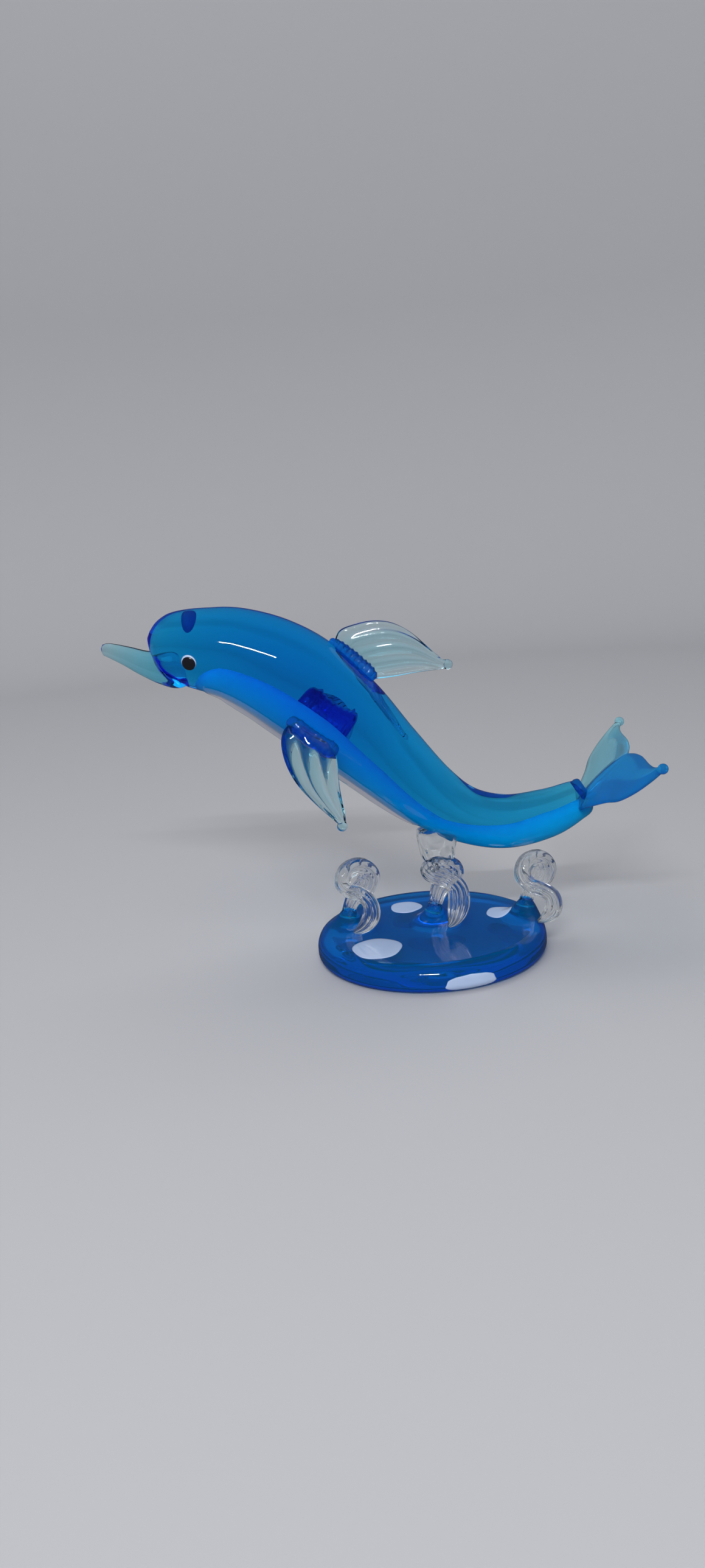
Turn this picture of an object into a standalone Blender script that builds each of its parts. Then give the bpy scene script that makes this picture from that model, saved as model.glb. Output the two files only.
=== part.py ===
"""Lampworked glass dolphin leaping over three glass waves on a round glass base.

Lengths are written in millimetres and turned into metres by MM.
+Z is up, the head points along -X, and Y = 0 is the dolphin's middle plane.
The origin is the centre of the base's flat underside.
"""
from math import copysign, cos, pi, radians, sin, sqrt

import bmesh
import bpy
import numpy as np
from mathutils import Matrix, Vector

MM = 0.001
GAP = 0.3                      # clearance between neighbouring pieces

# Round base
BASE_RADIUS = 26.0
BASE_THICKNESS = 6.0
BASE_TOP_ROUND = 3.2
BASE_BOTTOM_ROUND = 1.8
BASE_SEGMENTS = 48

# Body: centre line (x, z) and radius, from the forehead to the root of the tail
BODY_STATIONS = [
    (-56.4, 72.2, 0.5), (-55.9, 72.4, 2.3), (-54.5, 72.7, 4.3), (-52.2, 72.9, 6.5),
    (-49.5, 72.9, 8.0), (-44.4, 72.1, 9.1), (-38.2, 70.6, 9.9), (-31.2, 67.3, 10.8),
    (-24.4, 62.4, 11.2), (-16.0, 54.4, 10.5), (-7.8, 45.6, 8.9), (1.0, 36.6, 7.4),
    (9.0, 31.2, 6.3), (18.0, 28.9, 6.0), (27.0, 30.0, 5.5), (34.2, 32.7, 4.4),
]
BODY_STEPS = 2
BODY_SIDES = 24

# Belly: a rod of blue glass sunk into the underside, in parts of the body's radius
BELLY_DROP = 0.66
BELLY_RADIUS = 0.47
BELLY_START = 0.11             # share of the body's length where the rod's nose lies
BELLY_RINGS = 20

# Clear strip that runs under the belly as far as the support pad
STRIP_START = 0.14
STRIP_END = 0.70
STRIP_HALF_ANGLE = radians(34)
STRIP_THICKNESS = 1.1
STRIP_EDGE = 0.35

# Beak: centre (x, z), half height and half width
BEAK_STATIONS = [
    (-66.9, 73.6, 0.4, 0.4), (-66.4, 73.6, 1.2, 1.2), (-64.8, 73.3, 1.7, 1.8),
    (-61.5, 72.3, 2.4, 2.7), (-58.0, 70.8, 3.4, 3.7), (-54.5, 69.5, 4.3, 4.7),
    (-51.0, 68.9, 4.2, 5.0),
]
MOUTH_CREASE = 0.16

# Eyes
EYE_POINTS = {"left": (-47.5, 70.5), "right": (-47.5, 74.0)}   # x and z; one sits higher
EYE_WHITE_RADIUS = 1.75
EYE_WHITE_DEPTH = 0.9
PUPIL_RADIUS = 1.4
PUPIL_DEPTH = 0.7
PUPIL_DROP = 0.45

# Fins: leading and trailing edges from root to tip, and the thickness between them
DORSAL_LEADING = [(-17.0, 0, 71.8), (-15.6, 0, 74.0), (-12.5, 0, 75.0), (-8.5, 0, 75.5),
                  (-4.5, 0, 74.8), (-0.6, 0, 72.5), (3.0, 0, 69.0), (5.9, 0, 66.1)]
DORSAL_TRAILING = [(-8.9, 0, 62.9), (-7.4, 0, 63.0), (-5.4, 0, 63.1), (-3.0, 0, 63.3),
                   (-0.4, 0, 63.6), (2.4, 0, 63.8), (4.8, 0, 63.9), (6.7, 0, 64.1)]
DORSAL_THICKNESS = (3.0, 1.5)
DORSAL_TIP = (7.0, 0, 64.9)
PECTORAL_LEADING = [(-26.3, -9.9, 56.6), (-28.6, -10.9, 55.6), (-29.6, -12.0, 52.8),
                    (-29.0, -13.1, 48.6), (-27.0, -14.0, 44.2), (-23.6, -14.8, 40.0),
                    (-20.6, -15.4, 37.0), (-19.0, -15.6, 35.4)]
PECTORAL_TRAILING = [(-19.0, -9.4, 50.4), (-18.4, -10.2, 49.4), (-18.2, -11.2, 47.4),
                     (-18.2, -12.4, 44.8), (-18.0, -13.6, 41.6), (-17.6, -14.6, 38.8),
                     (-17.4, -15.2, 36.8), (-17.4, -15.6, 35.8)]
PECTORAL_THICKNESS = (2.9, 1.7)
PECTORAL_TIP = (-18.2, -15.8, 34.9)
RIGHT_PECTORAL_TURN = radians(16)      # the right fin is set this much higher on the side
TIP_BEAD_RADIUS = 1.1
FIN_RIBS = 3
BLADE_SIDES = 18
FIN_RIB_DEPTH = 0.12

# Crimped weld beads along the fin roots, laid on the body
DORSAL_WELD = [(-18.0, 0, 72.0), (-15.6, 0, 70.1), (-13.2, 0, 67.8), (-11.0, 0, 65.4),
               (-8.9, 0, 62.9)]
DORSAL_WELD_RADIUS = (1.0, 1.5)
PECTORAL_WELD = [(-27.6, -9.6, 57.4), (-25.4, -9.3, 54.6), (-23.0, -9.0, 52.4),
                 (-20.4, -8.8, 50.4), (-18.0, -8.9, 49.2)]
PECTORAL_WELD_RADIUS = (1.3, 1.6)
WELD_CRIMPS = 8
CRIMP_DEPTH = 0.10

# Tail: a collar behind the body, then two flukes that lie in one raised plane
COLLAR_CENTRE = (35.75, 0, 33.55)
COLLAR_PITCH = radians(30)
COLLAR_RADIUS = 4.3
COLLAR_THICKNESS = 2.0
FLUKE_ORIGIN = (37.1, 0, 34.3)
FLUKE_PITCH = radians(43)
FLUKE_SWING = radians(-3.0)    # the pair is turned a little to the right
FLUKE_LEADING = [(0.4, 0.2), (0.2, 4.0), (0.4, 8.0), (1.4, 12.5), (3.6, 17.0),
                 (7.0, 20.0), (10.6, 21.4), (13.4, 21.6)]
FLUKE_TRAILING = [(11.8, 0.2), (12.9, 3.4), (13.5, 7.0), (13.6, 10.6), (13.6, 14.4),
                  (13.9, 17.8), (14.6, 20.0), (15.4, 21.2)]
FLUKE_THICKNESS = (3.4, 1.5)
FLUKE_TIP = (15.0, 22.0)

# White spots melted into the top of the base: centre and half sizes
SPOTS = {
    "spot_front_left": ((-12.7, -12.8), (5.4, 5.8)),
    "spot_back_left": ((-4.9, 12.1), (3.7, 4.1)),
    "spot_back_right": ((16.0, 3.4), (2.9, 3.8)),
}
SPOT_DEPTH = 1.1
RIM_SPOT_AZIMUTH = radians(-76)
RIM_SPOT_HALF_SIZES = (1.6, 5.4, 2.9)
RIM_SPOT_HEIGHT = 2.9

# Waves: foot on the base, and the route of the strap as seen from the foot on the base's top:
# up from the root, over to the left, across the front to the right and down to the tip
WAVES = {
    "left_wave": ((-18.5, 2.6), [
        (0.0, 0.0, 4.1), (0.5, 0.3, 5.6), (2.2, 1.1, 7.4), (4.5, 1.2, 9.3), (5.1, 0.3, 12.0),
        (3.2, -1.0, 14.3), (0.5, -2.4, 14.1), (-0.8, -3.8, 12.0), (0.6, -5.0, 10.2),
        (3.2, -6.2, 9.5), (5.0, -7.2, 7.7), (5.2, -7.8, 5.2), (4.1, -8.1, 3.4),
        (2.6, -8.3, 2.2), (1.0, -8.4, 1.5)]),
    "middle_wave": ((1.2, 1.6), [
        (0.0, 0.0, 4.1), (0.4, 0.3, 5.5), (1.4, 1.1, 7.2), (3.0, 1.2, 9.2), (4.4, 0.3, 11.5),
        (3.4, -1.0, 13.6), (0.8, -2.4, 14.5), (-0.9, -3.8, 13.8), (0.4, -5.0, 12.6),
        (2.7, -6.2, 11.9), (4.7, -7.2, 10.1), (5.0, -7.8, 7.4), (4.4, -8.1, 4.9),
        (3.4, -8.3, 2.9), (2.3, -8.4, 1.6)]),
    "right_wave": ((22.0, 1.2), [
        (0.0, 0.0, 4.1), (0.5, 0.3, 5.5), (2.2, 1.1, 7.0), (4.1, 0.9, 8.8), (4.5, 0.2, 11.3),
        (2.6, -1.0, 13.5), (0.0, -2.4, 13.2), (-1.0, -3.8, 11.0), (0.3, -5.0, 8.9),
        (2.6, -6.2, 8.1), (4.6, -7.2, 6.8), (5.0, -7.8, 4.8), (4.2, -8.1, 3.1),
        (2.8, -8.3, 2.0), (1.2, -8.4, 1.4)]),
}
WAVE_HALF_WIDTH = [1.7, 1.8, 2.1, 2.3, 2.4, 2.4, 2.4, 2.3, 2.1, 2.0, 1.9, 1.9, 1.6, 1.0, 0.4]
WAVE_FLATNESS = 0.72
WAVE_RIBS = 5
WAVE_RIB_DEPTH = 0.07
WAVE_ROOT_RADIUS = 4.2
WAVE_STALK_RADIUS = 1.7
WAVE_ROOT_HEIGHT = 3.4

# Clear pad between the middle wave and the dolphin
PAD_CENTRE = (2.5, -0.2)
PAD_LEVELS = [(21.2, 2.8), (22.0, 3.5), (23.4, 3.9), (25.0, 4.1), (27.0, 4.3), (28.4, 4.2)]
PAD_DEPTH = 0.85               # front to back, in parts of the width
PAD_SQUARENESS = 0.55


def glass(name, colour, roughness=0.08):
    """Plain glass material with the colour the piece shows."""
    material = bpy.data.materials.new(name)
    material.use_nodes = True
    shader = material.node_tree.nodes["Principled BSDF"]
    shader.inputs["Base Color"].default_value = (*colour, 1.0)
    shader.inputs["Roughness"].default_value = roughness
    shader.inputs["Metallic"].default_value = 0.0
    material.diffuse_color = (*colour, 1.0)
    return material


def clear_scene():
    """Remove every object of the open file."""
    for item in list(bpy.data.objects):
        bpy.data.objects.remove(item, do_unlink=True)


def smooth(points, steps):
    """Catmull-Rom curve through the points, with the given steps from one to the next."""
    knots = [np.array(point, dtype=float) for point in points]
    knots = [2 * knots[0] - knots[1]] + knots + [2 * knots[-1] - knots[-2]]
    curve = []
    for a, b, c, d in zip(knots, knots[1:], knots[2:], knots[3:]):
        for step in range(steps):
            t = step / steps
            curve.append(0.5 * (2 * b + (c - a) * t + (2 * a - 5 * b + 4 * c - d) * t * t
                                + (3 * b - a - 3 * c + d) * t ** 3))
    curve.append(knots[-2])
    return curve


def resample(curve, count):
    """Evenly spaced points along a dense curve."""
    table = np.array(curve)
    lengths = np.linalg.norm(np.diff(table, axis=0), axis=1)
    travelled = np.concatenate([[0.0], np.cumsum(lengths)])
    wanted = np.linspace(0.0, travelled[-1], count)
    return np.stack([np.interp(wanted, travelled, column) for column in table.T], axis=1)


def add_object(name, bm, material):
    """Turn a bmesh in millimetres into an object in metres."""
    bmesh.ops.recalc_face_normals(bm, faces=bm.faces)
    if bm.calc_volume(signed=True) < 0:
        bmesh.ops.reverse_faces(bm, faces=bm.faces)
    bmesh.ops.scale(bm, vec=(MM, MM, MM), verts=bm.verts)
    mesh = bpy.data.meshes.new(name)
    bm.to_mesh(mesh)
    bm.free()
    mesh.shade_smooth()
    mesh.set_sharp_from_angle(angle=radians(40))
    item = bpy.data.objects.new(name, mesh)
    bpy.context.scene.collection.objects.link(item)
    if material:
        mesh.materials.append(material)
    return item


def loft(name, rings, material=None):
    """Closed solid through rings of equally many points, its ends closed by fans."""
    bm = bmesh.new()
    loops = [[bm.verts.new(point) for point in ring] for ring in rings]
    for near, far in zip(loops, loops[1:]):
        for i in range(len(near)):
            j = (i + 1) % len(near)
            bm.faces.new((near[i], near[j], far[j], far[i]))
    for loop in (loops[0], loops[-1]):
        middle = bm.verts.new(sum((vert.co for vert in loop), Vector()) / len(loop))
        for i in range(len(loop)):
            bm.faces.new((loop[i], loop[(i + 1) % len(loop)], middle))
    return add_object(name, bm, material)


def frames(path, side):
    """Centre, side and up vectors along a path, turned as little as possible."""
    centres = [Vector(point) for point in path]
    side = Vector(side)
    result = []
    for i, centre in enumerate(centres):
        ahead = centres[min(i + 1, len(centres) - 1)]
        behind = centres[max(i - 1, 0)]
        tangent = (ahead - behind).normalized()
        side = (side - tangent * side.dot(tangent)).normalized()
        result.append((centre, side, tangent.cross(side)))
    return result


def sweep(name, path, side, section, sides, material=None):
    """Solid along a path; section(ring number, angle) gives the offsets along side and up."""
    rings = []
    for i, (centre, across, up) in enumerate(frames(path, side)):
        ring = []
        for k in range(sides):
            a, b = section(i, 2 * pi * k / sides)
            ring.append(centre + across * a + up * b)
        rings.append(ring)
    return loft(name, rings, material)


def ellipsoid(name, centre, axes, radii, segments=16, rings=8, material=None):
    """Ellipsoid whose radii run along the columns of axes."""
    bm = bmesh.new()
    bmesh.ops.create_uvsphere(bm, u_segments=segments, v_segments=rings, radius=1.0)
    turn = axes.to_4x4() @ Matrix.Diagonal((*radii, 1.0))
    bmesh.ops.transform(bm, matrix=Matrix.Translation(centre) @ turn, verts=bm.verts)
    return add_object(name, bm, material)


def lathe(name, profile, centre, segments, material=None):
    """Turned solid about a vertical axis; profile is (radius, height) from the bottom up."""
    rings = []
    for radius, height in profile:
        angles = [2 * pi * k / segments for k in range(segments)]
        rings.append([Vector((centre[0] + radius * cos(a), centre[1] + radius * sin(a), height))
                      for a in angles])
    return loft(name, rings, material)


def hide(item):
    """Mark a cutter, which only shapes other objects."""
    item.hide_render = True
    item.display_type = "WIRE"
    return item


def cut(item, cutter, operation="DIFFERENCE"):
    """Add a Boolean to the object."""
    modifier = item.modifiers.new(operation.title() + "_" + cutter.name, "BOOLEAN")
    modifier.operation = operation
    modifier.object = cutter


def body_line():
    """Centre line and radius of the body as (x, z, radius) rows."""
    return smooth(BODY_STATIONS, BODY_STEPS)


def body_at(share):
    """Row (x, z, radius) at a share of the body's length, with the unit tangent (x, z)."""
    dense = resample(smooth(BODY_STATIONS, 12), 401)
    row = np.array([np.interp(share * 400, range(401), column) for column in dense.T])
    low, high = int(max(share * 400 - 2, 0)), int(min(share * 400 + 2, 400))
    tangent = dense[high, :2] - dense[low, :2]
    return row, tangent / np.linalg.norm(tangent)


def round_body(name, grow=0.0, material=None):
    """Body of round section, made thicker by grow all round."""
    rows = body_line()
    radii = [row[2] + grow for row in rows]
    path = [(row[0], 0.0, row[1]) for row in rows]
    if grow:
        for end, inner in ((0, 1), (-1, -2)):
            outward = (Vector(path[end]) - Vector(path[inner])).normalized()
            path[end] = tuple(Vector(path[end]) + outward * grow)
    return sweep(name, path, (0, 1, 0), lambda i, a: (radii[i] * cos(a), radii[i] * sin(a)),
                 BODY_SIDES, material)


def belly_rod(name, grow=0.0, material=None):
    """Rod along the underside with a round nose below the eye."""
    path, radii = [], []
    for i in range(BELLY_RINGS):
        share = BELLY_START + (1.02 - BELLY_START) * i / (BELLY_RINGS - 1)
        (x, z, radius), tangent = body_at(min(share, 1.0))
        overshoot = max(share - 1.0, 0.0) * 120
        drop = BELLY_DROP * radius
        path.append((x + tangent[1] * drop + tangent[0] * overshoot, 0.0,
                     z - tangent[0] * drop + tangent[1] * overshoot))
        nose = min(i / 3.0, 1.0)
        swell = 0.25 + 0.75 * sqrt(1.0 - (1.0 - nose) ** 2)
        radii.append(BELLY_RADIUS * radius * swell + grow)
    if grow:
        path[0] = (path[0][0] - grow, 0.0, path[0][2])
    return sweep(name, path, (0, 1, 0), lambda i, a: (radii[i] * cos(a), radii[i] * sin(a)),
                 16, material)


def belly_strip(material):
    """Thin crescent of clear glass under the belly."""
    rings = []
    count = 16
    for i in range(count):
        share = STRIP_START + (STRIP_END - STRIP_START) * i / (count - 1)
        (x, z, radius), tangent = body_at(share)
        fade = sin(pi * min(1.0, 0.15 + 2.2 * min(i, count - 1 - i) / count) / 2)
        up = Vector((-tangent[1], 0.0, tangent[0]))
        inner, outer = [], []
        for k in range(7):
            angle = STRIP_HALF_ANGLE * (k / 3.0 - 1.0)
            swell = cos(angle * pi / 2 / STRIP_HALF_ANGLE)
            thickness = STRIP_EDGE + (STRIP_THICKNESS - STRIP_EDGE) * fade * swell
            direction = Vector((0, sin(angle), 0)) - up * cos(angle)
            centre = Vector((x, 0.0, z))
            inner.append(centre + direction * (radius + GAP))
            outer.append(centre + direction * (radius + GAP + thickness))
        rings.append(inner + outer[::-1])
    return loft("belly_strip", rings, material)


def beak(material):
    """Beak with a crease along each side where the mouth closes."""
    rows = smooth(BEAK_STATIONS, 2)
    path = [(row[0], 0.0, row[1]) for row in rows]

    def section(i, angle):
        crease = 1.0 - MOUTH_CREASE * max(0.0, abs(cos(angle)) - 0.6) / 0.4
        return rows[i][3] * crease * cos(angle), rows[i][2] * sin(angle)

    return sweep("beak", path, (0, 1, 0), section, 20, material)


def side_point(x, z, hand):
    """Point on the side of the body at the given x and z, and the way out of the glass."""
    dense = resample(smooth(BODY_STATIONS, 12), 401)
    nearest = dense[np.argmin(np.hypot(dense[:, 0] - x, dense[:, 1] - z))]
    rise = z - nearest[1]
    y = hand * sqrt(nearest[2] ** 2 - rise ** 2)
    forward = Vector((-0.3, 0.0, 0.0))
    return Vector((x, y, z)), (Vector((0, y, rise)).normalized() + forward).normalized()


def eye(side_name, hand, white, black, body):
    """White disc let into the head and a black pupil let into the white."""
    point, out = side_point(*EYE_POINTS[side_name], hand)
    across = Vector((0, 0, 1)).cross(out).normalized()
    axes = Matrix((across, out.cross(across), out)).transposed()
    radii = (EYE_WHITE_RADIUS, EYE_WHITE_RADIUS, EYE_WHITE_DEPTH)
    disc = ellipsoid(side_name + "_eye_white", point, axes, radii, material=white)
    cut(body, hide(ellipsoid(side_name + "_eye_socket", point, axes,
                             [radius + GAP for radius in radii])))
    centre = point + out * 0.75 - Vector((0, 0, PUPIL_DROP))
    radii = (PUPIL_RADIUS, PUPIL_RADIUS, PUPIL_DEPTH)
    ellipsoid(side_name + "_eye_pupil", centre, axes, radii, material=black)
    seat = hide(ellipsoid(side_name + "_pupil_seat", centre, axes,
                          [radius + GAP for radius in radii]))
    cut(disc, seat)
    cut(body, seat)


def blade(name, leading, trailing, thickness, tip, ribs, material):
    """Ribbed fin between two edges, ending in a round bead."""
    steps = 2
    front = smooth(leading, steps)
    back = smooth(trailing, steps)
    count = len(front)
    lean = Vector(leading[3]) - Vector(leading[0])
    flat = lean.cross(Vector(trailing[0]) - Vector(leading[0])).normalized()
    rings = []
    for i, (a, b) in enumerate(zip(front, back)):
        a, b = Vector(a), Vector(b)
        middle, half = (a + b) / 2, (a - b) / 2
        share = i / (count - 1)
        depth = (thickness[0] * (1 - share) + thickness[1] * share) / 2
        ring = []
        for k in range(BLADE_SIDES):
            angle = 2 * pi * k / BLADE_SIDES
            wave = 1.0 + ribs * (1 - share) * cos(2 * pi * FIN_RIBS * cos(angle) / 2)
            ring.append(middle + half * cos(angle) + flat * depth * sin(angle) * wave)
        rings.append(ring)
    end, direction = Vector(tip), (Vector(tip) - rings[-1][0].lerp(rings[-1][BLADE_SIDES // 2], 0.5))
    direction.normalize()
    sideways = direction.cross(flat).normalized()
    for turn in (-0.5, -0.1, 0.4, 0.9, 1.3):
        size, advance = TIP_BEAD_RADIUS * cos(turn), TIP_BEAD_RADIUS * sin(turn)
        ring = []
        for k in range(BLADE_SIDES):
            angle = 2 * pi * k / BLADE_SIDES
            ring.append(end + direction * advance + sideways * size * cos(angle)
                        + flat * size * sin(angle))
        rings.append(ring)
    return loft(name, align(rings), material)


def align(rings):
    """Turn each ring's start, so that neighbouring rings face each other point by point."""
    result = [rings[0]]
    for ring in rings[1:]:
        last = result[-1]
        choices = []
        for order in (ring, ring[::-1]):
            choices += [order[k:] + order[:k] for k in range(len(order))]
        result.append(min(choices, key=lambda c: sum((p - q).length for p, q in zip(c, last))))
    return result


def weld(name, points, radii, grow=0.0, material=None):
    """Crimped bead along a fin root."""
    path = smooth(points, 4)
    count = len(path)

    def section(i, angle):
        share = i / (count - 1)
        end = 0.35 + 0.65 * min(1.0, 5 * share, 5 * (1 - share)) ** 0.5
        size = radii[0] * (1 - share) + radii[1] * share
        if not grow:
            size *= 1.0 - CRIMP_DEPTH * (0.5 + 0.5 * cos(2 * pi * WELD_CRIMPS * share))
        return (size * end + grow) * cos(angle), (size * end + grow) * sin(angle)

    return sweep(name, path, (0, 1, 0.1), section, 12, material)


def right_side(point):
    """The left pectoral's point carried over to the right side, a little further up it."""
    (x, z, _), (far_x, far_z, _) = BODY_STATIONS[8:10]
    pivot = Vector((x, 0.0, z))
    turn = Matrix.Rotation(RIGHT_PECTORAL_TURN, 3, Vector((far_x - x, 0.0, far_z - z)))
    return tuple(pivot + turn @ (Vector((point[0], -point[1], point[2])) - pivot))


def pectoral(side_name, place, fin_glass, weld_glass, body_space):
    """Pectoral fin and the weld that holds it to the body."""
    leading, trailing, route = (
        [place(point) for point in points]
        for points in (PECTORAL_LEADING, PECTORAL_TRAILING, PECTORAL_WELD))
    fin = blade(side_name + "_pectoral_fin", leading, trailing, PECTORAL_THICKNESS,
                place(PECTORAL_TIP), FIN_RIB_DEPTH, fin_glass)
    cut(fin, hide(weld(side_name + "_pectoral_seat", route, PECTORAL_WELD_RADIUS, GAP)))
    cut(fin, body_space)
    bead = weld(side_name + "_pectoral_weld", route, PECTORAL_WELD_RADIUS, material=weld_glass)
    cut(bead, body_space)


def collar(material):
    """Crimped ring where the tail meets the flukes."""
    axis = Vector((cos(COLLAR_PITCH), 0, sin(COLLAR_PITCH)))
    half = COLLAR_THICKNESS / 2
    shape = [(-half, 0.86), (-0.6 * half, 0.98), (0.0, 1.0), (0.6 * half, 0.98), (half, 0.86)]
    path = [Vector(COLLAR_CENTRE) + axis * offset for offset, _ in shape]

    def section(i, angle):
        size = COLLAR_RADIUS * shape[i][1] * (1 + 0.04 * cos(7 * angle))
        return size * cos(angle), size * sin(angle)

    return sweep("tail_weld", path, (0, 1, 0), section, 28, material)


def fluke(name, hand, material):
    """One half of the tail fin."""
    along = Vector((cos(FLUKE_PITCH), 0, sin(FLUKE_PITCH)))

    def place(point):
        s, y = point
        swung = s * cos(FLUKE_SWING) - hand * y * sin(FLUKE_SWING)
        across = y * cos(FLUKE_SWING) + hand * s * sin(FLUKE_SWING)
        position = Vector(FLUKE_ORIGIN) + along * swung
        return (position.x, hand * max(across, GAP / 2), position.z)

    leading = [place(point) for point in FLUKE_LEADING]
    trailing = [place(point) for point in FLUKE_TRAILING]
    return blade(name, leading, trailing, FLUKE_THICKNESS, place(FLUKE_TIP), 0.08, material)


def disc_profile(grow=0.0):
    """Rounded rim of the base as (radius, height) from the underside up."""
    points = [(2.0, 0.0)]
    centre = BASE_RADIUS - BASE_BOTTOM_ROUND
    for k in range(5):
        angle = radians(-90 + 22.5 * k)
        points.append((centre + BASE_BOTTOM_ROUND * cos(angle),
                       BASE_BOTTOM_ROUND + BASE_BOTTOM_ROUND * sin(angle)))
    centre = BASE_RADIUS - BASE_TOP_ROUND
    for k in range(7):
        angle = radians(15 * k)
        points.append((centre + BASE_TOP_ROUND * cos(angle),
                       BASE_THICKNESS - BASE_TOP_ROUND + BASE_TOP_ROUND * sin(angle)))
    points.append((2.0, BASE_THICKNESS))
    return [(radius + grow, height) for radius, height in points]


def spot(name, place, half_sizes, white, disc):
    """Lens of white glass whose flat top is level with the base."""
    centre = Vector((place[0], place[1], BASE_THICKNESS))
    rings = []
    for turn in (0, 25, 50, 72):
        size, depth = cos(radians(turn)), SPOT_DEPTH * sin(radians(turn))
        rings.append([centre + Vector((half_sizes[0] * size * cos(2 * pi * k / 24),
                                       half_sizes[1] * size * sin(2 * pi * k / 24), -depth))
                      for k in range(24)])
    loft(name, rings, white)
    radii = (half_sizes[0] + GAP, half_sizes[1] + GAP, SPOT_DEPTH + GAP)
    cut(disc, hide(ellipsoid(name + "_pocket", centre, Matrix.Identity(3), radii, 24, 8)))


def rim_spot(white, disc, plain_disc):
    """White glass melted round the front of the rim."""
    out = Vector((cos(RIM_SPOT_AZIMUTH), sin(RIM_SPOT_AZIMUTH), 0))
    up = Vector((0, 0, 1))
    axes = Matrix((out, up.cross(out), up)).transposed()
    centre = out * (BASE_RADIUS - 0.3) + up * RIM_SPOT_HEIGHT
    patch = ellipsoid("spot_front_rim", centre, axes, RIM_SPOT_HALF_SIZES, 20, 10, white)
    cut(patch, plain_disc, "INTERSECT")
    radii = [size + GAP for size in RIM_SPOT_HALF_SIZES]
    cut(disc, hide(ellipsoid("rim_pocket", centre, axes, radii, 20, 10)))


def wave_root(name, foot, blue):
    """Blue swelling of the base that narrows into the stalk of a wave."""
    bottom = BASE_THICKNESS + GAP
    profile = []
    for k in range(5):
        share = k / 4
        swell = (1 - share) ** 1.7
        profile.append((WAVE_STALK_RADIUS + (WAVE_ROOT_RADIUS - WAVE_STALK_RADIUS) * swell,
                        bottom + (WAVE_ROOT_HEIGHT - GAP) * share))
    lathe(name, profile, foot, 20, blue)


def wave_strap(name, foot, route, grow=0.0, material=None):
    """Ribbed strap of clear glass that curls up and over from the root."""
    rows = smooth([(foot[0] + x, foot[1] + y, BASE_THICKNESS + z, width)
                   for (x, y, z), width in zip(route, WAVE_HALF_WIDTH)], 2)
    path = [tuple(row[:3]) for row in rows]

    def section(i, angle):
        flat = 1.0 - (1.0 - WAVE_FLATNESS) * min(1.0, i / 6.0)
        size = rows[i][3] * (1.0 + WAVE_RIB_DEPTH * cos(2 * WAVE_RIBS * angle))
        return (flat * size + grow) * cos(angle), (size + grow) * sin(angle)

    return sweep(name, path, (0, 1, 0), section, 16, material)


def support_pad(material):
    """Block of clear glass with rounded corners under the belly."""
    rings = []
    for height, half_width in PAD_LEVELS:
        ring = []
        for k in range(24):
            a, b = cos(2 * pi * k / 24), sin(2 * pi * k / 24)
            ring.append(Vector((PAD_CENTRE[0] + half_width * copysign(abs(a) ** PAD_SQUARENESS, a),
                                PAD_CENTRE[1] + half_width * PAD_DEPTH
                                * copysign(abs(b) ** PAD_SQUARENESS, b), height)))
        rings.append(ring)
    return loft("support_pad", rings, material)


def build():
    """Make every piece of the figurine."""
    clear_scene()
    teal = glass("teal_glass", (0.01, 0.12, 0.34))
    belly_blue = glass("belly_blue_glass", (0.01, 0.13, 0.55), 0.12)
    aqua = glass("aqua_clear_glass", (0.45, 0.66, 0.68))
    cobalt = glass("cobalt_glass", (0.01, 0.04, 0.40))
    base_blue = glass("base_blue_glass", (0.01, 0.09, 0.35))
    clear = glass("clear_glass", (0.80, 0.83, 0.84))
    fluke_blue = glass("fluke_blue_glass", (0.02, 0.20, 0.50))
    white = glass("white_glass", (0.75, 0.78, 0.85), 0.2)
    black = glass("black_glass", (0.01, 0.01, 0.02))

    body = round_body("body", material=teal)
    body_space = hide(round_body("body_space", GAP))
    cut(body, hide(belly_rod("belly_channel", GAP)))
    inlay = belly_rod("belly_inlay", material=belly_blue)
    cut(inlay, hide(round_body("body_limit")), "INTERSECT")
    belly_strip(clear)
    cut(beak(aqua), body_space)
    eye("left", -1, white, black, body)
    eye("right", 1, white, black, body)

    dorsal = blade("dorsal_fin", DORSAL_LEADING, DORSAL_TRAILING, DORSAL_THICKNESS,
                   DORSAL_TIP, FIN_RIB_DEPTH, aqua)
    cut(dorsal, hide(weld("dorsal_seat", DORSAL_WELD, DORSAL_WELD_RADIUS, GAP)))
    cut(dorsal, body_space)
    cut(weld("dorsal_fin_weld", DORSAL_WELD, DORSAL_WELD_RADIUS, material=cobalt), body_space)
    pectoral("left", lambda point: point, aqua, cobalt, body_space)
    pectoral("right", right_side, aqua, cobalt, body_space)

    collar(cobalt)
    fluke("left_fluke", -1, fluke_blue)
    fluke("right_fluke", 1, fluke_blue)

    disc = lathe("base_disc", disc_profile(), (0, 0), BASE_SEGMENTS, base_blue)
    plain_disc = hide(lathe("plain_disc", disc_profile(), (0, 0), BASE_SEGMENTS))
    for name, (place, half_sizes) in SPOTS.items():
        spot(name, place, half_sizes, white, disc)
    rim_spot(white, disc, plain_disc)
    for name, (foot, route) in WAVES.items():
        wave_root(name + "_root", foot, base_blue)
        wave_strap(name + "_curl", foot, route, material=clear)

    pad = support_pad(clear)
    cut(pad, body_space)
    cut(pad, hide(wave_strap("pad_seat", *WAVES["middle_wave"], GAP)))


build()
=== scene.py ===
"""Looks of the lampworked glass dolphin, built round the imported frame.

Lengths are written in millimetres and turned into metres by MM, in the frame's own axes:
+Z up, the head towards -X, Y = 0 the dolphin's middle plane, Z = 0 the base's underside.
"""
from math import copysign, cos, pi, radians, sin, sqrt

import bmesh
import bpy
import numpy as np
from mathutils import Matrix, Vector


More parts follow.
